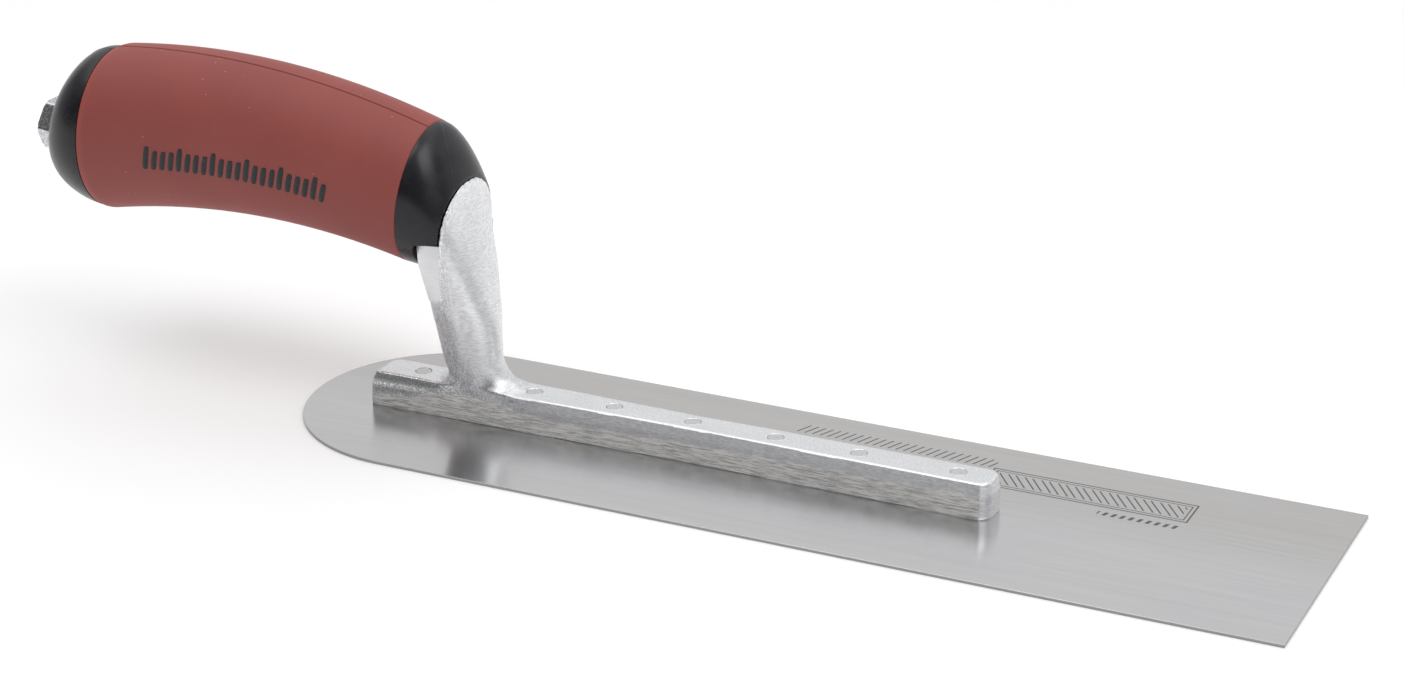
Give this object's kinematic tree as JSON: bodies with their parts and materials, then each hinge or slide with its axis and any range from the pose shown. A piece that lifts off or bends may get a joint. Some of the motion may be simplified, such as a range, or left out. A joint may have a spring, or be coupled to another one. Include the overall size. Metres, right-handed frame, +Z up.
{
  "type": "round-ended finishing trowel",
  "caption": "Hand trowel with a long flat blade, one end rounded and one square, a riveted cast mounting and a curved bolted grip set over the rounded end.",
  "frame": {"origin": "centre of the blade's sole", "axes": "+Z up from the sole, +X along the blade to its square front end, +Y across the blade to the left"},
  "size_m": [0.3559, 0.0762, 0.0891],
  "materials": {
    "blade_steel": "satin, ground lengthwise",
    "cast_aluminium": "satin casting with belt-ground sides",
    "rivet_metal": "ground flush",
    "black_plastic": "satin moulded",
    "red_rubber": "matte moulded",
    "plated_steel": "bright zinc plate"
  },
  "bodies": {
    "root": {"blade": "blade_steel", "mounting": "cast_aluminium", "rivet_1": "rivet_metal", "rivet_2": "rivet_metal", "rivet_3": "rivet_metal", "rivet_4": "rivet_metal", "rivet_5": "rivet_metal", "rivet_6": "rivet_metal", "rivet_7": "rivet_metal", "handle_core": "black_plastic", "grip": "red_rubber", "handle_bolt": "plated_steel", "washer": "plated_steel"}
  },
  "joints": []
}
